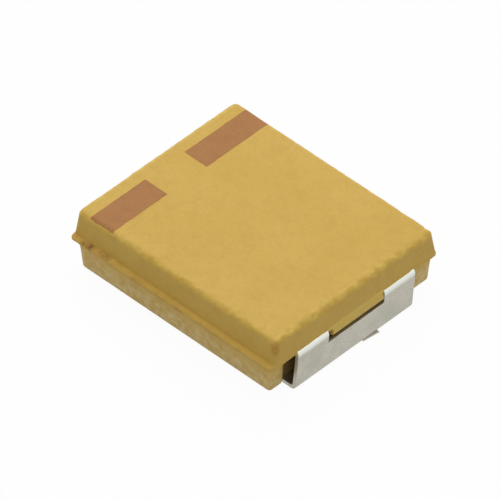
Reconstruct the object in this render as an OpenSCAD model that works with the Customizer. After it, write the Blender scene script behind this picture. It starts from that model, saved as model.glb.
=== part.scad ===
// Low-profile moulded tantalum chip capacitor with folded strip leads.
// Millimetres. The feet stand on z = 0, +X is the cathode end, -X the marked anode end.

/* [Case] */
// Length of the case at the parting plane
case_l = 7.17; // [6.7:0.01:7.8]
// Width of the case at the parting plane
case_w = 5.97; // [5.4:0.01:6.6]
// Height of the upper half, above the parting plane
upper_h = 0.76; // [0.7:0.01:1.1]
// Height of the lower half, below the parting plane
lower_h = 1.17; // [1:0.01:1.5]
// Draft of the upper half's ends, in degrees
upper_end_draft = 1.2; // [0.5:0.1:7]
// Draft of the upper half's long sides, in degrees
upper_side_draft = 5; // [0.5:0.1:7]
// Draft of the lower half, in degrees
lower_draft = 4.2; // [0.5:0.1:7]
// How far the lower half's ends are set back to make room for the folded leads
end_setback = 0.135; // [0.1:0.005:0.2]
// How far the lower half's long sides are set back
side_setback = 0.01; // [0:0.01:0.1]
// Mismatch of the two mould halves along the case
mould_shift = 0.03; // [0:0.01:0.06]
// Radius round the top and bottom edges
edge_r = 0.18; // [0.06:0.01:0.25]
// Corner radius of the upper half in plan
upper_corner_r = 0.18; // [0.1:0.01:0.4]
// Corner radius of the lower half in plan
lower_corner_r = 0.2; // [0.1:0.01:0.45]

/* [Mould flash] */
// Reach of the flash past the wall, on the side that faces -Y
flash_near = 0.145; // [0.02:0.005:0.2]
// Reach of the flash past the wall, on the side that faces +Y
flash_far = 0.03; // [0.01:0.01:0.2]
// Reach of the flash past the upper half's ends
flash_end = 0.01; // [0.01:0.01:0.06]
// Thickness of the flash at its tip
flash_t = 0.07; // [0.02:0.01:0.1]
// Height of the slope from the flash's tip up to the wall
flash_rise = 0.08; // [0.02:0.01:0.15]

/* [Polarity bars] */
// Distance from the anode end's wall to the bars
bar_setback = 0.47; // [0.25:0.01:0.8]
// Width of each bar, along the case
bar_w = 0.8; // [0.3:0.01:1.2]
// Gap between the two bars
bar_gap = 1.44; // [0.6:0.01:2.4]
// Offset of that gap from the middle of the case, towards -Y
bar_offset = 0.15; // [0:0.01:0.3]
// Depth of the marked layer
bar_depth = 0.02; // [0.01:0.005:0.05]

/* [Leads] */
// Thickness of the lead strip
lead_t = 0.13; // [0.08:0.01:0.16]
// Width of each lead outside the case
lead_w = 4.3; // [3.6:0.01:4.8]
// How far each plate's outer face stands past the case's end
lead_proud = 0.07; // [0.05:0.01:0.2]
// Inner radius of the bends
bend_r = 0.05; // [0.02:0.01:0.1]
// Width of the window between the two legs
window_w = 1.95; // [1:0.01:2.4]
// Depth of the window below the lead's top
window_drop = 0.41; // [0.3:0.01:0.5]
// Length of each foot under the case, from the plate's outer face
foot_l = 1.3; // [0.7:0.01:1.8]
// Length of full-width lead from the plate's outer face into the case
lead_grip = 0.66; // [0.5:0.01:0.9]
// Length of solid lead between the window and the tongue
grip_bar = 0.2; // [0.1:0.01:0.25]
// Width of the cathode lead's tongue on the pellet
tongue_w = 2.6; // [1.6:0.01:3.2]
// Length of the cathode lead's tongue on the pellet
tongue_l = 1.6; // [0.8:0.01:2.2]
// Angle of the step up to the tongue, in degrees
step_angle = 55; // [40:1:70]
// Width of the anode lead's tongue
anode_tongue_w = 1.4; // [0.8:0.01:2.4]
// Length of the anode lead's tongue
anode_tongue_l = 0.7; // [0.5:0.01:0.9]

/* [Resin webs] */
// Reach of the web in each lead window past the case's end
web_proud = 0.05; // [0.02:0.01:0.08]
// Height of the web below the lead's top
web_h = 0.25; // [0.1:0.01:0.28]

/* [Anode] */
// Resin under the coated pellet
floor_t = 0.28; // [0.15:0.01:0.4]
// Resin above the cathode lead's tongue
roof_t = 0.3; // [0.15:0.01:0.4]
// Resin beside the coated pellet
side_t = 0.4; // [0.3:0.01:0.7]
// Gap between the coated pellet and the cathode lead's step
step_gap = 0.1; // [0.06:0.01:0.25]
// Rounding of the pellet's long edges
pellet_r = 0.1; // [0.04:0.01:0.14]
// Diameter of the riser wire
wire_d = 0.26; // [0.18:0.01:0.32]
// Depth to which the wire is sintered into the pellet
wire_embed = 2.4; // [1:0.01:2.8]
// Length of wire along the anode lead
weld_l = 0.55; // [0.3:0.01:0.6]
// Depth to which the weld flattens the wire
weld_flat = 0.02; // [0.01:0.005:0.04]
// Bare wire between the anode lead and the washer
wire_gap = 0.2; // [0.1:0.01:0.3]
// Outer diameter of the insulating washer
washer_d = 0.72; // [0.5:0.01:0.78]
// Thickness of the insulating washer
washer_t = 0.15; // [0.08:0.01:0.25]
// Thickness of the manganese dioxide and graphite coat
graphite_t = 0.04; // [0.02:0.005:0.06]
// Thickness of the silver coat
silver_t = 0.04; // [0.02:0.005:0.06]
// How far the silver coat stops short of the pellet's anode face
silver_short = 0.3; // [0.1:0.01:0.5]
// Thickness of the silver adhesive
glue_t = 0.03; // [0.02:0.005:0.06]
// Margin of the adhesive inside the tongue's edges
glue_margin = 0.1; // [0.04:0.01:0.3]

/* [Hidden] */
round_fn = 48;
arc_steps = 6;
over = 1;
gold = [0.81, 0.67, 0.34];
mark_brown = [0.68, 0.49, 0.33];
tin = [0.76, 0.75, 0.72];

// Heights
case_z = lead_t;
part_z = case_z + lower_h;
top_z = part_z + upper_h;
lead_z = part_z - lead_t;
wire_z = lead_z + weld_flat - wire_d / 2;

// Half sizes of the case
half_l = case_l / 2;
half_w = case_w / 2;
low_half_l = half_l - end_setback;
low_half_w = half_w - side_setback;
low_floor_half_w = low_half_w - lower_h * tan(lower_draft);
top_half_l = half_l - upper_h * tan(upper_end_draft);
top_half_w = half_w - upper_h * tan(upper_side_draft);
flash_slope = max(flash_near, flash_far) + upper_h * tan(upper_side_draft);

// Leads
plate_x = half_l + lead_proud;
bend_out = bend_r + lead_t;
grip_x = plate_x - lead_grip;
window_x = grip_x + grip_bar;
window_z = part_z - window_drop;
anode_tongue_x = grip_x - anode_tongue_l;

// Pellet, centred on the wire and held inside the resin walls
coat_t = graphite_t + silver_t;
pellet_half_h = min(wire_z - case_z - floor_t - coat_t,
    top_z - roof_t - lead_t - glue_t - coat_t - wire_z);
pellet_half_w = low_floor_half_w - side_t - coat_t;
tongue_z = wire_z + pellet_half_h + coat_t + glue_t;
step_rise = tongue_z - lead_z;
step_x = grip_x - step_rise / tan(step_angle);
pellet_x1 = step_x - step_gap - coat_t;
pellet_x0 = -anode_tongue_x + wire_gap + washer_t;
silver_x1 = pellet_x1 + coat_t;
glue_x1 = min(step_x, silver_x1) - glue_margin;
tongue_x = step_x - step_gap - tongue_l;

// Points along an arc round c from angle a0 to a1
function arc(c, r, a0, a1) =
    [for (i = [0:arc_steps]) let (a = a0 + (a1 - a0) * i / arc_steps) c + r * [cos(a), sin(a)]];

// Points mirrored to the other side of the vertical axis, in reverse order
function mirrored(p) = [for (i = [len(p) - 1:-1:0]) [-p[i][0], p[i][1]]];

// Section of a drafted half: half width at its base, leaning walls, rounded far edges
function half_section(base, h, draft, r) =
    let (
        far = base - h * tan(draft),
        centre = [far - r * (1 - sin(draft)) / cos(draft), h - r],
        side = concat([[base, 0]], arc(centre, r, draft, 90))
    )
    concat(side, mirrored(side));

// Section of the flash: a thin lip with a slope from its tip up to the wall
function flash_section(left, right) = [
    [-left, 0], [right, 0], [right, flash_t],
    [right - flash_slope, flash_t + flash_rise], [-left + flash_slope, flash_t + flash_rise],
    [-left, flash_t]
];

// Strip of lead along a path of [point, outward normal] pairs, seen from the side
function strip(path, t) = concat(
    [for (p = path) p[0]],
    [for (i = [len(path) - 1:-1:0]) path[i][0] - t * path[i][1]]
);

// Stretch of path round a bend: the outer face's points and normals
function bend(c, a0, a1) =
    [for (i = [0:arc_steps]) let (a = a0 + (a1 - a0) * i / arc_steps)
        [c + bend_out * [cos(a), sin(a)], [cos(a), sin(a)]]];

// Outer face of a lead from the end of its foot, up the plate and into the case
foot_and_plate = concat(
    [[[plate_x - foot_l, 0], [0, -1]]],
    bend([plate_x - bend_out, bend_out], -90, 0),
    bend([plate_x - bend_out, part_z - bend_out], 0, 90),
    [[[grip_x, part_z], [0, 1]]]
);

// Set a side view, drawn in X and Z, up as a solid of the given width in Y
module across(width) {
    rotate([90, 0, 0]) linear_extrude(width, center = true) children();
}

// Set an end view, drawn in Y and Z, up as a solid of the given length in X
module along(length) {
    rotate([90, 0, 90]) linear_extrude(length, center = true) children();
}

module rounded_rect(l, w, r) {
    square([l - 2 * r, w], center = true);
    square([l, w - 2 * r], center = true);
    for (x = [-1, 1], y = [-1, 1])
        translate([x * (l / 2 - r), y * (w / 2 - r)]) circle(r, $fn = round_fn);
}

// One half of the case, standing on the parting plane
module drafted_half(l, w, h, end_draft, side_draft, corner_r) {
    intersection() {
        across(w + over) polygon(half_section(l / 2, h, end_draft, edge_r));
        along(l + over) polygon(half_section(w / 2, h, side_draft, edge_r));
        translate([0, 0, -over]) linear_extrude(h + 2 * over) rounded_rect(l, w, corner_r);
    }
}

module upper_half() {
    translate([0, 0, part_z])
        drafted_half(case_l, case_w, upper_h, upper_end_draft, upper_side_draft, upper_corner_r);
}

module lower_half() {
    translate([-mould_shift, 0, part_z]) mirror([0, 0, 1])
        drafted_half(2 * low_half_l, 2 * low_half_w, lower_h, lower_draft, lower_draft,
            lower_corner_r);
}

// Thin lip that the mould's parting line leaves all round
module flash() {
    end = half_l + flash_end;
    translate([0, 0, part_z - flash_t]) intersection() {
        across(case_w + over) polygon(flash_section(end, end));
        along(case_l + over) polygon(flash_section(half_w + flash_near, half_w + flash_far));
    }
}

// Resin that filled the windows of both leads
module webs() {
    reach = half_l + web_proud;
    translate([-reach, -window_w / 2, part_z - web_h]) cube([2 * reach, window_w, web_h]);
}

// Foot, plate and legs of a lead, with the window between the legs
module lead_outside() {
    difference() {
        across(lead_w) polygon(strip(foot_and_plate, lead_t));
        translate([window_x, -window_w / 2, window_z])
            cube([plate_x, window_w, top_z]);
    }
}

module cathode_lead_solid() {
    // The step's faces are mitred so that the strip keeps its thickness
    mitre = lead_t * tan(step_angle / 2);
    lead_outside();
    across(tongue_w) polygon([
        [grip_x, lead_z], [step_x, tongue_z], [tongue_x, tongue_z],
        [tongue_x, tongue_z + lead_t], [step_x + mitre, tongue_z + lead_t],
        [grip_x + mitre, part_z], [grip_x + grip_bar, part_z], [grip_x + grip_bar, lead_z]
    ]);
}

module anode_lead_solid() {
    mirror([1, 0, 0]) {
        lead_outside();
        translate([anode_tongue_x, -anode_tongue_w / 2, lead_z])
            cube([anode_tongue_l + grip_bar, anode_tongue_w, lead_t]);
    }
}

// Block from x0 to x1 round the pellet's section, grown by a coat
module pellet_block(x0, x1, grow) {
    translate([(x0 + x1) / 2, 0, wire_z]) along(x1 - x0)
        rounded_rect(2 * (pellet_half_w + grow), 2 * (pellet_half_h + grow), pellet_r + grow);
}

// Cylinder on the wire's axis, from x0 to x1
module wire_cylinder(x0, x1, d) {
    translate([x0, 0, wire_z]) rotate([0, 90, 0]) cylinder(h = x1 - x0, d = d, $fn = round_fn);
}

module washer_blank() {
    wire_cylinder(pellet_x0 - washer_t, pellet_x0, washer_d);
}

module wire_blank() {
    wire_cylinder(-anode_tongue_x - weld_l, pellet_x0 + wire_embed, wire_d);
}

module wire_solid() {
    difference() {
        wire_blank();
        anode_lead_solid();
    }
}

module glue_solid() {
    x0 = tongue_x + glue_margin;
    translate([x0, glue_margin - tongue_w / 2, tongue_z - glue_t])
        cube([glue_x1 - x0, tongue_w - 2 * glue_margin, glue_t]);
}

module bars_solid() {
    x0 = -top_half_l + bar_setback;
    flat_half_w = top_half_w - edge_r;
    translate([x0, 0, top_z - bar_depth]) {
        translate([0, -flat_half_w, 0])
            cube([bar_w, flat_half_w - bar_offset - bar_gap / 2, bar_depth]);
        translate([0, bar_gap / 2 - bar_offset, 0])
            cube([bar_w, flat_half_w - bar_gap / 2 + bar_offset, bar_depth]);
    }
}

module epoxy_case() {
    color(gold) difference() {
        union() {
            upper_half();
            lower_half();
            flash();
            webs();
        }
        cathode_lead_solid();
        anode_lead_solid();
        pellet_block(pellet_x0, pellet_x1, 0);
        pellet_block(pellet_x0, pellet_x1 + graphite_t, graphite_t);
        pellet_block(pellet_x0 + silver_short, silver_x1, coat_t);
        washer_blank();
        wire_solid();
        glue_solid();
        bars_solid();
    }
}

module polarity_bars() {
    color(mark_brown) bars_solid();
}

module cathode_lead() {
    color(tin) cathode_lead_solid();
}

module anode_lead() {
    color(tin) anode_lead_solid();
}

module tantalum_pellet() {
    color("dimgray") difference() {
        pellet_block(pellet_x0, pellet_x1, 0);
        wire_blank();
    }
}

module tantalum_wire() {
    color("silver") wire_solid();
}

module insulating_washer() {
    color("white") difference() {
        washer_blank();
        wire_blank();
    }
}

module graphite_coat() {
    color([0.15, 0.15, 0.16]) difference() {
        pellet_block(pellet_x0, pellet_x1 + graphite_t, graphite_t);
        pellet_block(pellet_x0 - over, pellet_x1, 0);
    }
}

module silver_coat() {
    color([0.8, 0.8, 0.8]) difference() {
        pellet_block(pellet_x0 + silver_short, silver_x1, coat_t);
        pellet_block(pellet_x0 - over, pellet_x1 + graphite_t, graphite_t);
    }
}

module silver_adhesive() {
    color([0.7, 0.7, 0.72]) glue_solid();
}

epoxy_case();
polarity_bars();
cathode_lead();
anode_lead();
tantalum_pellet();
tantalum_wire();
insulating_washer();
graphite_coat();
silver_coat();
silver_adhesive();
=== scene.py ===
import math
import bpy
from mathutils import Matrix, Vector, noise
from mathutils.bvhtree import BVHTree


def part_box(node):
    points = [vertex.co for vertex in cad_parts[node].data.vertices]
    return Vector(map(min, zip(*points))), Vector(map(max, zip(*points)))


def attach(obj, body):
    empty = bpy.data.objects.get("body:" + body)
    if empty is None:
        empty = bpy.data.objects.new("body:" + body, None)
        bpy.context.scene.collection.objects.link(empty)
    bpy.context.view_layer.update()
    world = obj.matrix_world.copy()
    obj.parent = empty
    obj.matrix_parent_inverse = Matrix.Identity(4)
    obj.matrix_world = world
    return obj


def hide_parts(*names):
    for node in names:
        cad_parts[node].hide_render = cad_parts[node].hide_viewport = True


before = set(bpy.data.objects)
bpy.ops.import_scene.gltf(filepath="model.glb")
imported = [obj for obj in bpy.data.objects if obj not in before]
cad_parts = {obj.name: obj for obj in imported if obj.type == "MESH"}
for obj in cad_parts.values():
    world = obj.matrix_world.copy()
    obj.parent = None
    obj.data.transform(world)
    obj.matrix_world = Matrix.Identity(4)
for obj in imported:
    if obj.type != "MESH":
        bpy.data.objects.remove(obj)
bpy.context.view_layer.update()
mm = 0.001

print("stage: reading the frame")


def boxMm(node):
    low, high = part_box(node)
    return [v / mm for v in low], [v / mm for v in high]


caseLow, caseHigh = boxMm("epoxy_case")
barLow, barHigh = boxMm("polarity_bars")
leadLow, leadHigh = boxMm("cathode_lead")
topZ = caseHigh[2]
floorZ = caseLow[2]
plateX = leadHigh[0]  # outer face of the plates
leadHalfW = leadHigh[1]
leadT = floorZ - leadLow[2]  # the case sits on the feet, one strip thickness up
leadTopZ = boxMm("anode_lead")[1][2]  # the strip leaves the case here, on the parting plane


# A socket that takes part in sums, so that shader maths is written as expressions
class Sock:
    def __init__(self, tree, link):
        self.tree = tree
        self.link = link

    def maths(self, operation, *others):
        return addNode(self.tree, "ShaderNodeMath", {"operation": operation}, [self, *others])

    def __add__(self, other):
        return self.maths("ADD", other)

    def __radd__(self, other):
        return self.maths("ADD", other)

    def __sub__(self, other):
        return self.maths("SUBTRACT", other)

    def __rsub__(self, other):
        return addNode(self.tree, "ShaderNodeMath", {"operation": "SUBTRACT"}, [other, self])

    def __mul__(self, other):
        return self.maths("MULTIPLY", other)

    def __rmul__(self, other):
        return self.maths("MULTIPLY", other)

    def clamped(self):
        return self.maths("MAXIMUM", 0.0).maths("MINIMUM", 1.0)

    # 0 where the value is under low, 1 where it is over high, smooth between them
    def step(self, low, high):
        return addNode(self.tree, "ShaderNodeMapRange", {"interpolation_type": "SMOOTHSTEP"},
                       {"Value": self, "From Min": low, "From Max": high})


# The one way in for any other node: its type, its settings, and the values or links of its sockets
def addNode(tree, kind, settings=None, inputs=None, out=0):
    node = tree.nodes.new(kind)
    for name, value in (settings or {}).items():
        setattr(node, name, value)
    pairs = enumerate(inputs) if isinstance(inputs, list) else (inputs or {}).items()
    for key, value in pairs:
        socket = node.inputs[key]
        if isinstance(value, Sock):
            tree.links.new(value.link, socket)
        else:
            socket.default_value = value
    return Sock(tree, node.outputs[out]) if len(node.outputs) else None


def rgb(red, green, blue):
    # a colour as it is seen on screen, 0 to 255, turned into the linear one that shaders use
    parts = [v / 255 for v in (red, green, blue)]
    return (*[p / 12.92 if p < 0.04045 else ((p + 0.055) / 1.055) ** 2.4 for p in parts], 1.0)


def newMaterial(name):
    material = bpy.data.materials.new(name)
    material.use_nodes = True
    tree = material.node_tree
    tree.nodes.clear()
    return material, tree


def place(tree):
    # position on the object, in millimetres
    spot = addNode(tree, "ShaderNodeTexCoord", out="Object")
    return addNode(tree, "ShaderNodeVectorMath", {"operation": "SCALE"}, {0: spot, "Scale": 1 / mm})


def noiseAt(tree, spot, scale, detail, rough, stretch=None):
    if stretch:
        spot = addNode(tree, "ShaderNodeVectorMath", {"operation": "MULTIPLY"}, [spot, stretch])
    return addNode(tree, "ShaderNodeTexNoise", {},
                   {"Vector": spot, "Scale": scale, "Detail": detail, "Roughness": rough}, out="Fac")


def patches(tree, spot, scale, detail, rough, start, full):
    # a noise turned into patches: 0 where it is under start, 1 where it is over full
    return noiseAt(tree, spot, scale, detail, rough).step(start, full)


def blend(tree, factor, first, second):
    return addNode(tree, "ShaderNodeMix", {"data_type": "RGBA"}, {0: factor, 6: first, 7: second}, out=2)


def bump(tree, height, distance, strength):
    return addNode(tree, "ShaderNodeBump", {},
                   {"Height": height, "Distance": distance * mm, "Strength": strength})


def shine(tree, **sockets):
    inputs = {name.replace("_", " "): value for name, value in sockets.items()}
    shader = addNode(tree, "ShaderNodeBsdfPrincipled", {}, inputs)
    addNode(tree, "ShaderNodeOutputMaterial", {}, {"Surface": shader})


def layered(tree, spot, look):
    # tints laid over the base colour one by one, each where a noise of its own runs high
    colour, noises = look["base"], {}
    for name, (scale, detail, rough, start, full, share, tint) in look["layers"].items():
        noises[name] = noiseAt(tree, spot, scale, detail, rough, look.get("stretch", {}).get(name))
        colour = blend(tree, noises[name].step(start, full) * share, colour, look[tint])
    return colour, noises


resinLook = {
    "base": rgb(216, 176, 74),
    "pale": rgb(223, 185, 86),
    "deep": rgb(204, 163, 63),
    # painted highlight for the top edges and the web
    "highlightTint": rgb(234, 201, 98),
    "paleBelow": rgb(242, 217, 150),  # the lower half is paler than the upper one
    # burnt resin, and the painted shade under the flash lip
    "burnAndShade": rgb(140, 84, 36),
    "rust": rgb(190, 134, 44),
    # painted shade for the pocket behind each plate
    "pocketShade": rgb(104, 68, 30),
    "roughness": 0.6, "grainRough": 0.2, "specular": 0.45,
    # noise scale, detail and roughness, where the tint starts and where it is full, its share, the tint
    "layers": {
        "broad": (0.55, 2.0, 0.5, 0.35, 0.65, 0.5, "pale"),
        "mottle": (3.2, 3.0, 0.5, 0.42, 0.75, 0.4, "deep"),
        "grain": (13.0, 3.0, 0.6, 0.35, 0.7, 0.3, "deep"),
        "flecks": (6.0, 1.0, 0.5, 0.72, 0.8, 0.35, "pale"),
    },
    # noise scale, detail and roughness, where the patches start and where they are full
    "blotch": (4.5, 4.0, 0.65, 0.32, 0.68),
    # patches of painted highlight along the top edges
    "highlight": (3.4, 3.0, 0.5, 0.45, 0.62),
    "ragged": (5.0, 3.0, 0.5, 0.35, 0.65),
    "raggedLeast": 0.3, "raggedShare": 0.9,
}

# Where each tint lies on the resin, in millimetres: end and side are distances out from the middle,
# drop and rise are taken from the parting plane, start and full from the top
resinZones = {
    "paleBelow": {"drop": 0.12, "fade": 0.75, "least": 0.2, "blotches": 0.75},
    # painted shade under the flash lip
    "flashShade": {"height": (0.9, 1.02), "drop": 0.13, "fade": 0.02, "least": 0.3, "blotches": 0.5},
    # painted highlights along the top edges
    "rim": {"end": (3.36, 3.46), "side": (2.74, 2.84), "sideShare": 0.4,
            "start": 0.2, "full": 0.08, "share": 0.55},
    # painted shade in the pocket behind each plate
    "pocketShade": {"end": (3.1, 3.24), "side": (0.95, 1.5), "drop": 0.12, "fade": 0.1,
            "past": 0.03, "sideFade": 0.24, "share": 0.85},
    # painted highlight on the web, which faces up
    "web": {"end": (3.5, 3.56), "rise": 0.03, "fade": 0.05, "past": 0.02, "sideFade": 0.04, "share": 0.9},
}

# Burnt resin: centre and radii in millimetres, strength, tint
stains = [
    ((-2.94, -3.05, leadTopZ - 0.05), (0.42, 0.2, 0.09), 0.85, "burnAndShade"),
    ((-2.44, -3.05, leadTopZ - 0.02), (0.3, 0.2, 0.08), 0.85, "burnAndShade"),
    ((-3.5, -3.05, leadTopZ - 0.03), (0.16, 0.16, 0.1), 0.5, "rust"),
    ((plateX - 0.12, -2.9, topZ - 0.24), (0.2, 0.2, 0.34), 0.65, "rust"),
]

# The resin's relief: two noises as scale, detail and roughness, and a depth in millimetres
reliefLook = {
    "fine": (11.0, 4.0, 0.6), "coarse": (2.6, 2.0, 0.5), "fineShare": 0.6,
    "depth": 0.028, "strength": 0.6,
}


def spotMask(tree, spot, centre, size):
    # 1 in the middle of an oval spot, 0 outside it
    away = addNode(tree, "ShaderNodeVectorMath", {"operation": "SUBTRACT"}, [spot, centre])
    scaled = addNode(tree, "ShaderNodeVectorMath", {"operation": "DIVIDE"}, [away, size])
    reach = addNode(tree, "ShaderNodeVectorMath", {"operation": "LENGTH"}, [scaled], out="Value")
    return 1 - reach.step(0.25, 1.0)


def grainBump(tree, spot):
    # the moulded surface's relief, on the resin and on the bars marked into it
    s = reliefLook
    fine, coarse = noiseAt(tree, spot, *s["fine"]), noiseAt(tree, spot, *s["coarse"])
    return bump(tree, fine * s["fineShare"] + coarse * (1 - s["fineShare"]), s["depth"], s["strength"])


def goldResin():
    look, zones = resinLook, resinZones
    material, tree = newMaterial("goldResin")
    spot = place(tree)
    along, across, height = [addNode(tree, "ShaderNodeSeparateXYZ", {}, [spot], out=k) for k in range(3)]
    end, side = along.maths("ABSOLUTE"), across.maths("ABSOLUTE")
    colour, noises = layered(tree, spot, look)

    # paler below the parting plane, more so towards the floor; painted shade, darkest right under the flash
    # lip
    zone = zones["paleBelow"]
    below = (leadTopZ - zone["drop"] - height).step(0.0, zone["fade"])
    blotch = patches(tree, spot, *look["blotch"])
    colour = blend(tree, below * (zone["least"] + blotch * zone["blotches"]), colour, look["paleBelow"])
    # painted shade under the flash lip
    zone = zones["flashShade"]
    under = height.step(*zone["height"]) * (leadTopZ - zone["drop"] - height).step(0.0, zone["fade"])
    under = under * (zone["least"] + blotch * zone["blotches"])
    colour = blend(tree, under.clamped(), colour, look["burnAndShade"])

    # painted highlights in patches along the top edges
    zone = zones["rim"]
    rim = (end.step(*zone["end"]) + side.step(*zone["side"]) * zone["sideShare"]).clamped()
    rim = rim * height.step(topZ - zone["start"], topZ - zone["full"]) * patches(tree, spot, *look["highlight"])
    colour = blend(tree, rim * zone["share"], colour, look["highlightTint"])

    # painted shade darkens the pocket behind each plate; the web in its window gets a painted highlight, as
    # it faces up
    zone = zones["pocketShade"]
    aside = (across - caseSizes["pocketAside"]).maths("ABSOLUTE")
    behind = end.step(*zone["end"]) * (leadTopZ - zone["drop"] - height).step(0.0, zone["fade"])
    behind = behind * side.step(*zone["side"])
    behind = behind * (caseSizes["pocketHalfW"] + zone["past"] - aside).step(0.0, zone["sideFade"])
    zone = zones["web"]
    web = end.step(*zone["end"]) * (leadTopZ + zone["rise"] - height).step(0.0, zone["fade"])
    web = web * (caseSizes["webHalfW"] + zone["past"] - side).step(0.0, zone["sideFade"])
    colour = blend(tree, (behind - web).clamped() * zones["pocketShade"]["share"], colour, look["pocketShade"])
    colour = blend(tree, web * zone["share"], colour, look["highlightTint"])

    ragged = look["raggedLeast"] + patches(tree, spot, *look["ragged"]) * look["raggedShare"]
    for centre, size, strength, tint in stains:
        mask = spotMask(tree, spot, centre, size) * ragged * strength
        colour = blend(tree, mask.clamped(), colour, look[tint])
    shine(tree, Base_Color=colour, Roughness=look["roughness"] + (noises["grain"] - 0.5) * look["grainRough"],
          Normal=grainBump(tree, spot), Specular_IOR_Level=look["specular"])
    return material


markLook = {
    "base": rgb(178, 122, 64),
    "deep": rgb(165, 108, 58),
    "roughness": 0.7, "grainRough": 0.2,
    "layers": {
        "mottle": (2.4, 3.0, 0.5, 0.4, 0.7, 0.45, "deep"),
        "grain": (13.0, 3.0, 0.6, 0.35, 0.7, 0.3, "deep"),
    },
}


def laserMark():
    look = markLook
    material, tree = newMaterial("laserMark")
    spot = place(tree)
    colour, noises = layered(tree, spot, look)
    shine(tree, Base_Color=colour, Roughness=look["roughness"] + (noises["grain"] - 0.5) * look["grainRough"],
          Normal=grainBump(tree, spot))
    return material


tinLook = {
    "base": rgb(192, 188, 175),
    "dull": rgb(182, 179, 166),
    "grey": rgb(166, 162, 150),
    # painted highlight on the strip's upper bend and top, which face the light
    "highlight": rgb(228, 230, 221),
    "highlightFrom": 0.26, "highlightFull": 0.1,  # millimetres below the strip's upper face
    "metallic": 0.9, "roughness": 0.44, "cloudRough": 0.25, "drawnRough": 0.15,
    "drawnShare": 0.4, "relief": 0.012, "reliefStrength": 0.6,
    "layers": {
        "cloud": (1.6, 3.0, 0.5, 0.35, 0.7, 1.0, "dull"),
        "drawn": (3.0, 4.0, 0.65, 0.55, 0.8, 0.4, "grey"),
        "grain": (14.0, 3.0, 0.6, 0.4, 0.7, 0.5, "grey"),
    },
    "stretch": {"drawn": (6.0, 0.5, 6.0)},  # these marks run along Y
}


def tinPlate():
    look = tinLook
    material, tree = newMaterial("tinPlate")
    spot = place(tree)
    colour, noises = layered(tree, spot, look)
    height = addNode(tree, "ShaderNodeSeparateXYZ", {}, [spot], out="Z")
    # painted highlight towards the strip's top
    highlight = height.step(leadTopZ - look["highlightFrom"], leadTopZ - look["highlightFull"])
    colour = blend(tree, highlight, colour, look["highlight"])
    rough = look["roughness"] + (noises["cloud"] - 0.5) * look["cloudRough"]
    rough = rough + (noises["drawn"] - 0.5) * look["drawnRough"]
    relief = noises["drawn"] * look["drawnShare"] + noises["grain"] * (1 - look["drawnShare"])
    shine(tree, Base_Color=colour, Metallic=look["metallic"], Roughness=rough,
          Normal=bump(tree, relief, look["relief"], look["reliefStrength"]))
    return material


# Light and dark tints, metallic, roughness, grain scale, relief in millimetres
insideFinishes = {
    "tantalum_pellet": (rgb(96, 96, 100), rgb(58, 58, 62), 0.4, 0.75, 22.0, 0.02),
    "tantalum_wire": (rgb(170, 172, 178), rgb(132, 134, 140), 1.0, 0.35, 18.0, 0.003),
    "insulating_washer": (rgb(236, 234, 228), rgb(220, 218, 210), 0.0, 0.4, 9.0, 0.003),
    "graphite_coat": (rgb(46, 46, 48), rgb(26, 26, 28), 0.0, 0.8, 20.0, 0.008),
    "silver_coat": (rgb(206, 206, 204), rgb(176, 176, 174), 0.6, 0.55, 16.0, 0.006),
    "silver_adhesive": (rgb(190, 190, 190), rgb(150, 150, 150), 0.5, 0.6, 12.0, 0.01),
}
insideLook = {
    "from": 0.3, "full": 0.7, "grainRough": 0.2, "strength": 0.5,
    "cloudScale": 0.2, "cloudShare": 0.3,
}


def plainFinish(name, light, dark, metallic, roughness, scale, relief):
    # a mottled colour with a grain of its own scale
    look = insideLook
    material, tree = newMaterial(name)
    spot = place(tree)
    grain = noiseAt(tree, spot, scale, 4.0, 0.6)
    cloud = noiseAt(tree, spot, scale * look["cloudScale"], 2.0, 0.5)
    colour = blend(tree, grain.step(look["from"], look["full"]), light, dark)
    colour = blend(tree, cloud * look["cloudShare"], colour, dark)
    rough = roughness + (grain - 0.5) * look["grainRough"]
    shine(tree, Base_Color=colour, Metallic=metallic, Roughness=rough,
          Normal=bump(tree, grain, relief, look["strength"]))
    return material


def dressInside():
    for node, finish in insideFinishes.items():
        setMaterial(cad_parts[node], plainFinish(node + "_finish", *finish))


def setMaterial(piece, material):
    piece.data.materials.clear()
    piece.data.materials.append(material)


def newPiece(name, points, faces, material, replaced):
    mesh = bpy.data.meshes.new(name)
    mesh.from_pydata([[v * mm for v in p] for p in points], [], faces)
    mesh.update()
    piece = bpy.data.objects.new(name, mesh)
    bpy.context.scene.collection.objects.link(piece)
    setMaterial(piece, material)
    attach(piece, "root")
    if replaced:
        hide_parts(*replaced)
    return piece


# Millimetres, and degrees for the draft and the turns
caseSizes = {
    "partHalfL": 3.585, "partHalfW": 2.985,  # upper half, at the parting plane
    "topHalfL": 3.569, "topHalfW": 2.919,
    "topEdgeR": 0.185, "topCornerR": 0.24, "partCornerR": 0.08, "leastR": 0.012,
    "lowHalfL": 3.45, "lowHalfW": 2.975, "lowDraft": 3.6, "shift": -0.05, "farBulge": 0.1,
    "lowEdgeR": 0.13, "lowCornerR": 0.08, "floorCornerR": 0.13,
    "flashEnd": 0.01, "flashT": 0.07, "flashRise": 0.05, "flashDrop": 0.045, "flashCornerR": 0.12,
    "flashClear": 0.02,
    "webH": 0.34, "webHalfW": 1.03, "webShort": 0.16, "webSlope": 0.2, "webLean": 0.3,
    "webLip": 0.05, "webFoot": 0.004,
    "pocketHalfW": 2.36, "pocketAside": -0.12, "pocketD": 0.14, "pocketFade": 0.26,
    "pocketFoot": 0.3,  # a share of lowEdgeR
    "alongSteps": 150, "legSteps": 44, "webSteps": 40, "cornerSteps": 7,
}

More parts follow.
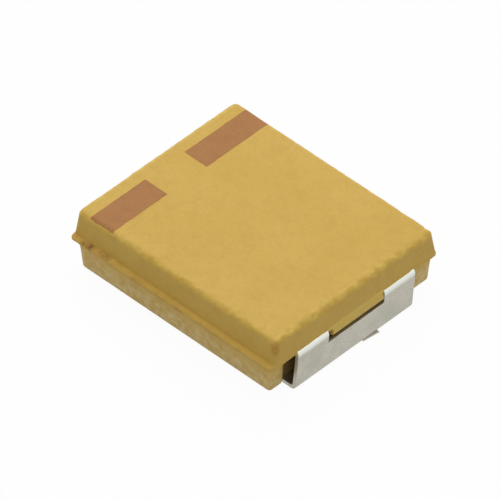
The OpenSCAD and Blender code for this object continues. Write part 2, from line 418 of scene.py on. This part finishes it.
# Levels of the case from its floor to its top
caseLevels = {
    "floorInsets": (1.2, 0.6, 0.35), "lowTurn": 12, "lowSteps": 8, "webSteps": 6,
    "flashUnder": ((0.5, 1.0), (1.0, 1.0), (1.0, 0.5), (1.0, 0.12)),  # shares of its reach and thickness
    "flashOver": (0.9, 0.66, 0.42, 0.2, 0.06),  # shares of its reach
    "topSteps": 9, "topTurn": 9, "topInsets": (0.03, 0.1, 0.25, 0.6, 1.2),
}

# Unevenness of the moulded surface: millimetres, and waves as scale, seed and share
caseWear = {
    "skin": 0.003, "skinWaves": ((1.1, 3.0, 1.0),),
    "edge": 0.034, "edgeWaves": ((2.1, 11.0, 1.0), (6.5, 5.0, 0.8)),
    "edgeDrop": 0.07, "edgeReach": 0.16, "endX": 3.2, "sideY": 2.55, "edgeFade": 0.15, "barClear": 0.1,
    "rag": 0.07, "ragWaves": ((2.2, 21.0, 1.0), (7.0, 9.0, 0.7)),
    "ragDrop": 0.03, "ragReach": 0.1, "ragMost": 0.15, "ragSideY": 2.9,
    "quiet": 0.25,  # the share left where the edge or the flash runs even
}


class Ring:
    # one level of the case: its height, its reach to each side and its corner radius
    def __init__(self, z, left, right, near, far, corner, web=0.0, pocket=0.0):
        self.z, self.left, self.right = z, left, right
        self.near, self.far, self.corner = near, far, corner
        self.web, self.pocket = web, pocket

    def inset(self, amount, z):
        corner = max(self.corner - amount, caseSizes["leastR"])
        return Ring(z, self.left + amount, self.right - amount, self.near + amount,
                    self.far - amount, corner, self.web, self.pocket)


def spread(start, stop, steps):
    return [start + (stop - start) * i / steps for i in range(steps)]


def ringPoints(ring):
    # anticlockwise from above, starting on the long side that faces -Y
    s = caseSizes
    r = ring.corner
    points = []

    def corner(x, y, start):
        for angle in spread(start, start + 90, s["cornerSteps"]):
            a = math.radians(angle)
            points.append((x + r * math.cos(a), y + r * math.sin(a), ring.z))

    def end(x, sign):
        # one end wall, with the web standing out between the two legs
        web = s["webHalfW"]
        low, high = ring.near + r, ring.far - r
        middle = s["webShort"] - web if sign > 0 else -web
        stretches = [(low, middle, s["legSteps"]), (middle, web, s["webSteps"]), (web, high, s["legSteps"])]
        if sign < 0:
            stretches = [(b, a, n) for a, b, n in reversed(stretches)]
        for index, (start, stop, steps) in enumerate(stretches):
            inWeb = index == 1 and ring.web
            for y in spread(start, stop, steps):
                room = (s["pocketHalfW"] - abs(y - s["pocketAside"])) / s["pocketFade"]
                sunk = min(1.0, max(0.0, room)) * ring.pocket
                out = sign * max(ring.web, abs(x)) if inWeb else x - sign * sunk
                points.append((out, y, ring.z))

    for x in spread(ring.left + r, ring.right - r, s["alongSteps"]):
        points.append((x, ring.near, ring.z))
    corner(ring.right - r, ring.near + r, -90)
    end(ring.right, 1)
    corner(ring.right - r, ring.far - r, 0)
    for x in spread(ring.right - r, ring.left + r, s["alongSteps"]):
        points.append((x, ring.far, ring.z))
    corner(ring.left + r, ring.far - r, 90)
    end(ring.left, -1)
    corner(ring.left + r, ring.near + r, 180)
    return points


def mixed(a, b, t):
    return a + (b - a) * t


def upperRing(h):
    # h is the height above the parting plane
    s = caseSizes
    t = h / (topZ - leadTopZ)
    x = mixed(s["partHalfL"], s["topHalfL"], t)
    y = mixed(s["partHalfW"], s["topHalfW"], t)
    return Ring(leadTopZ + h, -x, x, -y, y, mixed(s["partCornerR"], s["topCornerR"], t))


def lowerRing(d, web=0.0):
    # d is the depth below the parting plane
    s = caseSizes
    lean = d * math.tan(math.radians(s["lowDraft"]))
    x, y = s["lowHalfL"] - lean, s["lowHalfW"] - lean
    corner = mixed(s["lowCornerR"], s["floorCornerR"], d / (leadTopZ - floorZ))
    foot = leadTopZ - floorZ - s["lowEdgeR"] * s["pocketFoot"]
    pocket = s["pocketD"] if s["flashDrop"] + s["flashT"] < d < foot else 0.0
    return Ring(leadTopZ - d, s["shift"] - x, s["shift"] + x, -y, y + s["farBulge"], corner, web, pocket)


def flashRing(z, share, web=0.0):
    # share runs from 1 at the flash's tip to 0 at the upper wall
    s = caseSizes
    wall = upperRing(0)
    return Ring(z, wall.left - s["flashEnd"] * share, wall.right + s["flashEnd"] * share,
                mixed(wall.near, caseLow[1], share), mixed(wall.far, caseHigh[1], share),
                mixed(s["partCornerR"], s["flashCornerR"], share), web)


def webOut(d):
    # the web leans out from the wall down to its fullest level, then drops straight
    s = caseSizes
    return caseHigh[0] - max(0.0, s["webSlope"] - d) * s["webLean"]


def caseRings():
    s, levels = caseSizes, caseLevels
    rings = []
    r = s["lowEdgeR"]
    wallFoot = leadTopZ - floorZ - r
    base = lowerRing(wallFoot)
    for amount in levels["floorInsets"]:
        rings.append(base.inset(amount, floorZ))
    for angle in range(0, 90, levels["lowTurn"]):
        a = math.radians(angle)
        rings.append(base.inset(r * (1 - math.sin(a)), floorZ + r * (1 - math.cos(a))))
    webFoot = s["webH"] + s["webFoot"]
    for d in spread(wallFoot, webFoot, levels["lowSteps"]):
        rings.append(lowerRing(d))
    rings.append(lowerRing(webFoot))

    flashFoot = s["flashDrop"] + s["flashT"]
    for d in spread(s["webH"], flashFoot, levels["webSteps"]):
        lip = s["webLip"] * max(0.0, 1 - (s["webH"] - d) / s["webLip"])
        rings.append(lowerRing(d, webOut(d) - lip))
    rings.append(lowerRing(flashFoot, webOut(flashFoot)))
    for share, depth in levels["flashUnder"]:
        d = s["flashDrop"] + s["flashT"] * depth
        rings.append(flashRing(leadTopZ - d, share, webOut(d)))
    for share in levels["flashOver"]:
        rings.append(flashRing(leadTopZ - s["flashDrop"] + s["flashRise"] * (1 - share), share))

    r = s["topEdgeR"]
    height = topZ - leadTopZ - r
    for h in spread(s["flashRise"] + s["flashClear"], height, levels["topSteps"]):
        rings.append(upperRing(h))
    crown = upperRing(height)
    for angle in range(0, 91, levels["topTurn"]):
        a = math.radians(angle)
        rings.append(crown.inset(r * (1 - math.cos(a)), topZ - r + r * math.sin(a)))
    for amount in levels["topInsets"]:
        rings.append(crown.inset(r + amount, topZ))
    return rings


def ripple(p, scale, seed):
    return noise.noise(Vector(p) * scale + Vector((seed, seed * 0.7, seed * 1.3)))


def waves(p, table):
    return sum(share * ripple(p, scale, seed) for scale, seed, share in table)


def wander(p, normal):
    # a point of the case, moved along its normal by the surface's unevenness
    w = caseWear
    away = w["skin"] * waves(p, w["skinWaves"])
    nearTop = max(0.0, 1 - abs(p[2] - (topZ - w["edgeDrop"])) / w["edgeReach"])
    off = max(abs(p[0]) - w["endX"], abs(p[1]) - w["sideY"])
    if nearTop > 0 and off > 0:
        # the +X and -Y edges are scalloped, the second clear of the bars
        nearSide = p[1] < -w["sideY"] and p[0] > barHigh[0] + w["barClear"]
        facing = 1.0 if p[0] > w["endX"] or nearSide else w["quiet"]
        share = min(1.0, off / w["edgeFade"]) * nearTop
        away += w["edge"] * share * facing * waves(p, w["edgeWaves"])
    lip = max(0.0, 1 - abs(p[2] - (leadTopZ - caseSizes["flashDrop"] - w["ragDrop"])) / w["ragReach"])
    if lip > 0:
        facing = 1.0 if abs(p[1]) > w["ragSideY"] else w["quiet"]
        away += w["rag"] * lip * min(waves(p, w["ragWaves"]), w["ragMost"]) * facing
    return [p[i] + normal[i] * away for i in range(3)]


def buildCase():
    rings = [ringPoints(ring) for ring in caseRings()]
    count = len(rings[0])
    points = [p for ring in rings for p in ring]
    faces = [list(range(count))[::-1]]
    for level in range(len(rings) - 1):
        a, b = level * count, (level + 1) * count
        for i in range(count):
            j = (i + 1) % count
            faces.append([a + i, a + j, b + j, b + i])
    top = (len(rings) - 1) * count
    faces.append([top + i for i in range(count)])
    piece = newPiece("mouldedCase", points, faces, goldResin(), ["epoxy_case"])
    mesh = piece.data
    normals = [v.normal.copy() for v in mesh.vertices]
    for v, normal in zip(mesh.vertices, normals):
        v.co = Vector(wander([c / mm for c in v.co], normal)) * mm
    smooth(piece, 40)
    return piece


def smooth(piece, angle):
    mesh = piece.data
    mesh.polygons.foreach_set("use_smooth", [True] * len(mesh.polygons))
    mesh.set_sharp_from_angle(angle=math.radians(angle))
    mesh.update()


# Millimetres: how far across the bars reach, and the skin's height over the resin and depth into it
barLook = {
    "reach": 2.87, "lift": 0.004, "depth": 0.016, "step": 0.025,
    "wobble": 0.012, "wobbleScale": 6.0, "endSeed": 2.0, "sideSeed": 4.0,
}


def buildBars(case):
    # each bar is a thin skin that follows the case's top and wraps over its long edges
    s = barLook
    tree = BVHTree.FromObject(case, bpy.context.evaluated_depsgraph_get())
    gapNear, gapFar = barGap()
    points, faces = [], []
    for start, stop in ((-s["reach"], gapNear), (gapFar, s["reach"])):
        across = max(2, round((stop - start) / s["step"]))
        along = round((barHigh[0] - barLow[0]) / s["step"])
        base = len(points)
        for layer in (s["lift"], -s["depth"]):
            for i in range(along + 1):
                for j in range(across + 1):
                    x = mixed(barLow[0], barHigh[0], i / along)
                    y = mixed(start, stop, j / across)
                    if i in (0, along):
                        x += s["wobble"] * ripple((x, y, 0), s["wobbleScale"], s["endSeed"])
                    if j in (0, across):
                        y += s["wobble"] * ripple((x, y, 0), s["wobbleScale"], s["sideSeed"])
                    hit = tree.ray_cast(Vector((x, y, topZ + 1)) * mm, Vector((0, 0, -1)))
                    points.append([c / mm + n * layer for c, n in zip(hit[0], hit[1])])
        faces += slabFaces(base, along, across)
    piece = newPiece("laserBars", points, faces, laserMark(), ["polarity_bars"])
    smooth(piece, 50)


def slabFaces(base, along, across):
    # faces of a thin closed slab: an upper grid, a lower grid and the rim between them
    row = across + 1
    lower = (along + 1) * row
    faces = []
    for i in range(along):
        for j in range(across):
            a = base + i * row + j
            faces.append([a, a + row, a + row + 1, a + 1])
            faces.append([a + lower, a + lower + 1, a + lower + row + 1, a + lower + row])
    rim = [i * row for i in range(along + 1)]
    rim += [along * row + j for j in range(1, row)]
    rim += [i * row + across for i in range(along - 1, -1, -1)]
    rim += list(range(across - 1, 0, -1))
    for a, b in zip(rim, rim[1:] + rim[:1]):
        faces.append([base + b, base + a, base + a + lower, base + b + lower])
    return faces


def barGap():
    # inner ends of the two bars: the middle two of the four places across the case where they end
    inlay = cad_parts["polarity_bars"]
    ends = sorted({round((inlay.matrix_world @ v.co).y / mm, 3) for v in inlay.data.vertices})
    return ends[1], ends[2]


# Millimetres, and degrees for sharp
leadSizes = {
    "bendR": 0.05, "footL": 1.3, "inside": 3.3, "bendSteps": 10, "flatStep": 0.09,
    "windowHalfW": 1.03, "windowDrop": 0.424, "acrossStep": 0.075, "edgeRound": 0.014, "sharp": 50,
    "skew": 0.13, "dent": 0.008, "dentScale": 1.4, "dentSeed": 6.0, "dentFrom": 0.3, "dentClear": 0.1,
}


def leadPath():
    # outer face from the foot's end, round the plate and into the case: point and normal in X and Z
    s = leadSizes
    r = s["bendR"] + leadT
    path = []

    def straight(start, stop, normal):
        steps = max(1, round(math.dist(start, stop) / s["flatStep"]))
        for i in range(steps):
            path.append(([mixed(a, b, i / steps) for a, b in zip(start, stop)], normal))

    def turn(x, z, start):
        for angle in spread(start, start + 90, s["bendSteps"]):
            a = math.radians(angle)
            path.append(([x + r * math.cos(a), z + r * math.sin(a)], (math.cos(a), math.sin(a))))

    windowZ = leadTopZ - s["windowDrop"]
    straight((plateX - s["footL"], 0), (plateX - r, 0), (0, -1))
    turn(plateX - r, r, -90)
    straight((plateX, r), (plateX, windowZ), (1, 0))
    straight((plateX, windowZ), (plateX, leadTopZ - r), (1, 0))
    turn(plateX - r, leadTopZ - r, 0)
    straight((plateX - r, leadTopZ), (s["inside"], leadTopZ), (0, 1))
    path.append(([s["inside"], leadTopZ], (0, 1)))
    return path


def leadColumns():
    s = leadSizes
    window = s["windowHalfW"]
    columns = []
    for start, stop in ((-leadHalfW, -window), (-window, window), (window, leadHalfW)):
        columns += spread(start, stop, round((stop - start) / s["acrossStep"]))
    return columns + [leadHalfW]


def isOpen(path, columns, i, j):
    # a cell of the strip that lies in the window
    s = leadSizes
    middle = (columns[j] + columns[j + 1]) / 2
    height = (path[i][0][1] + path[i + 1][0][1]) / 2
    return abs(middle) < s["windowHalfW"] and height > leadTopZ - s["windowDrop"]


def buildLead(name, sign, skew, node, tin):
    s = leadSizes
    path, columns = leadPath(), leadColumns()
    rows, cols = len(path), len(columns)
    points, faces = [], []
    for depth in (0.0, leadT):
        for (x, z), (nx, nz) in path:
            for y in columns:
                low = min(1.0, max(0.0, 1 - z / leadTopZ))
                onPlate = s["dentFrom"] < z < leadTopZ - s["dentClear"]
                dent = s["dent"] * ripple((x, y, z), s["dentScale"], s["dentSeed"]) if onPlate else 0.0
                points.append([sign * (x - nx * (depth - dent)), y - skew * low, z - nz * depth])
    back = rows * cols

    def solid(i, j):
        return 0 <= i < rows - 1 and 0 <= j < cols - 1 and not isOpen(path, columns, i, j)

    for i in range(rows - 1):
        for j in range(cols - 1):
            if not solid(i, j):
                continue
            a, b, c, d = i * cols + j, i * cols + j + 1, (i + 1) * cols + j + 1, (i + 1) * cols + j
            faces.append([a, b, c, d])
            faces.append([d + back, c + back, b + back, a + back])
            sides = ((i - 1, j, a, b), (i, j + 1, b, c), (i + 1, j, c, d), (i, j - 1, d, a))
            for ni, nj, p, q in sides:
                if not solid(ni, nj):
                    faces.append([q, p, p + back, q + back])
    if sign < 0:
        faces = [f[::-1] for f in faces]
    used = sorted({v for f in faces for v in f})
    index = {v: k for k, v in enumerate(used)}
    points = [points[v] for v in used]
    faces = [[index[v] for v in f] for f in faces]
    piece = newPiece(name, points, faces, tin, [node])
    bevel = piece.modifiers.new("softEdge", "BEVEL")
    bevel.width = s["edgeRound"] * mm
    bevel.segments = 2
    bevel.limit_method = "ANGLE"
    bevel.angle_limit = math.radians(s["sharp"])
    smooth(piece, s["sharp"])


# A torn sliver under the plate's lower bend, in millimetres; the least values are shares
sliverSizes = {
    "start": 0.22, "stop": 0.78, "steps": 14, "z": 0.05, "sag": 0.02, "tipDrop": 0.012,
    "behind": 0.07, "neck": 0.05, "proud": 0.07, "leastReach": 0.25, "thick": 0.03, "leastThick": 0.45,
    "tear": 0.5, "tearMiddle": 0.8, "tearScale": 9.0, "tearSeed": 2.0,
}


def buildSliver(tin):
    s = sliverSizes
    points, faces = [], []
    root = plateX - s["behind"]
    for i in range(s["steps"] + 1):
        t = i / s["steps"]
        y = mixed(s["start"], s["stop"], t)
        torn = s["tearMiddle"] + s["tear"] * ripple((y, 0, 0), s["tearScale"], s["tearSeed"])
        tip = root + s["neck"] + s["proud"] * mixed(s["leastReach"], 1.0, t) * torn
        thick = s["thick"] * mixed(1.0, s["leastThick"], t)
        z = s["z"] - s["sag"] * t
        low = z - s["tipDrop"]
        points += [(root, y, z), (tip, y, low), (tip, y, low + thick / 2), (root, y, z + thick)]
    for i in range(s["steps"]):
        a, b = i * 4, (i + 1) * 4
        faces += [[b + k, b + (k + 1) % 4, a + (k + 1) % 4, a + k] for k in range(4)]
    last = s["steps"] * 4
    faces += [[0, 1, 2, 3], [last + 3, last + 2, last + 1, last]]
    piece = newPiece("leadSliver", points, faces, tin, None)
    smooth(piece, 60)


# The floor's size is in metres, its clearance under the feet in millimetres
stageLook = {"floor": 0.95, "bounce": 0.8, "glow": 0.96, "world": 0.30, "size": 0.6, "clear": 0.004}


def seenRays(tree):
    # 1 for the rays that show the background: to the camera, in metal and through glass
    kinds = ("Is Camera Ray", "Is Glossy Ray", "Is Transmission Ray")
    camera, glossy, through = [addNode(tree, "ShaderNodeLightPath", out=kind) for kind in kinds]
    return (camera + glossy + through).clamped()


def buildStage():
    s = stageLook
    material, tree = newMaterial("paleFloor")
    seen = seenRays(tree)
    paint = blend(tree, seen, (s["bounce"],) * 3 + (1,), (s["floor"],) * 3 + (1,))
    matte = addNode(tree, "ShaderNodeBsdfDiffuse", {}, {"Color": paint})
    glow = addNode(tree, "ShaderNodeEmission", {}, {"Color": (1, 1, 1, 1), "Strength": 1.0})
    both = addNode(tree, "ShaderNodeMixShader", {}, [seen * s["glow"], matte, glow])
    addNode(tree, "ShaderNodeOutputMaterial", {}, {"Surface": both})
    half = s["size"] / 2
    mesh = bpy.data.meshes.new("floor")
    low = -s["clear"] * mm
    corners = [(-half, -half, low), (half, -half, low), (half, half, low), (-half, half, low)]
    mesh.from_pydata(corners, [], [(0, 1, 2, 3)])
    floor = bpy.data.objects.new("floor", mesh)
    bpy.context.scene.collection.objects.link(floor)
    setMaterial(floor, material)

    world = bpy.data.worlds.new("paleRoom")
    world.use_nodes = True
    tree = world.node_tree
    tree.nodes.clear()
    strength = seenRays(tree) * (1 - s["world"]) + s["world"]
    sky = addNode(tree, "ShaderNodeBackground", {}, {"Color": (1, 1, 1, 1), "Strength": strength})
    addNode(tree, "ShaderNodeOutputWorld", {}, {"Surface": sky})
    bpy.context.scene.world = world


# Metres and watts
lamps = {
    "topSoft": {"from": (-0.02, 0.02, 0.12), "size": 0.14, "power": 0.087},
    "backSoft": {"from": (-0.10, 0.08, 0.07), "size": 0.09, "power": 0.036},
    "rightSoft": {"from": (0.09, 0.085, 0.08), "size": 0.09, "power": 0.008},
}


def buildLamps():
    for name, s in lamps.items():
        light = bpy.data.lights.new(name, "AREA")
        light.shape = "DISK"
        light.size = s["size"]
        light.energy = s["power"]
        lamp = bpy.data.objects.new(name, light)
        lamp.location = s["from"]
        aim = Vector((0, 0, topZ * mm)) - lamp.location
        lamp.rotation_euler = aim.to_track_quat("-Z", "Y").to_euler()
        bpy.context.scene.collection.objects.link(lamp)


# Degrees, metres for distance and clip, millimetres for lens and sensor
cameraPlan = {
    "azimuth": 44.2, "elevation": 43.26, "distance": 0.3077,
    "lens": 864.0, "sensor": 36.0, "clip": (0.01, 10.0),
    "aside": -0.133, "up": -0.764,  # millimetres from the top face's middle to the view's middle
}


def buildCamera():
    s = cameraPlan
    a, e = math.radians(s["azimuth"]), math.radians(s["elevation"])
    back = Vector((math.sin(a) * math.cos(e), -math.cos(a) * math.cos(e), math.sin(e)))
    right = Vector((math.cos(a), math.sin(a), 0))
    up = back.cross(right)
    target = Vector((0, 0, topZ * mm)) + right * s["aside"] * mm + up * s["up"] * mm
    data = bpy.data.cameras.new("camera")
    data.lens = s["lens"]
    data.sensor_width = s["sensor"]
    data.clip_start, data.clip_end = s["clip"]
    camera = bpy.data.objects.new("camera", data)
    camera.location = target + back * s["distance"]
    camera.rotation_euler = back.to_track_quat("Z", "Y").to_euler()
    bpy.context.scene.collection.objects.link(camera)
    bpy.context.scene.camera = camera


print("stage: camera and light")
buildCamera()
buildStage()
buildLamps()

print("stage: case and bars")
case = buildCase()
buildBars(case)

print("stage: leads")
tin = tinPlate()
buildLead("cathodeStrip", 1, leadSizes["skew"], "cathode_lead", tin)
buildLead("anodeStrip", -1, 0.0, "anode_lead", tin)
buildSliver(tin)

print("stage: inner pieces")
dressInside()

bpy.context.scene.view_settings.view_transform = "Standard"
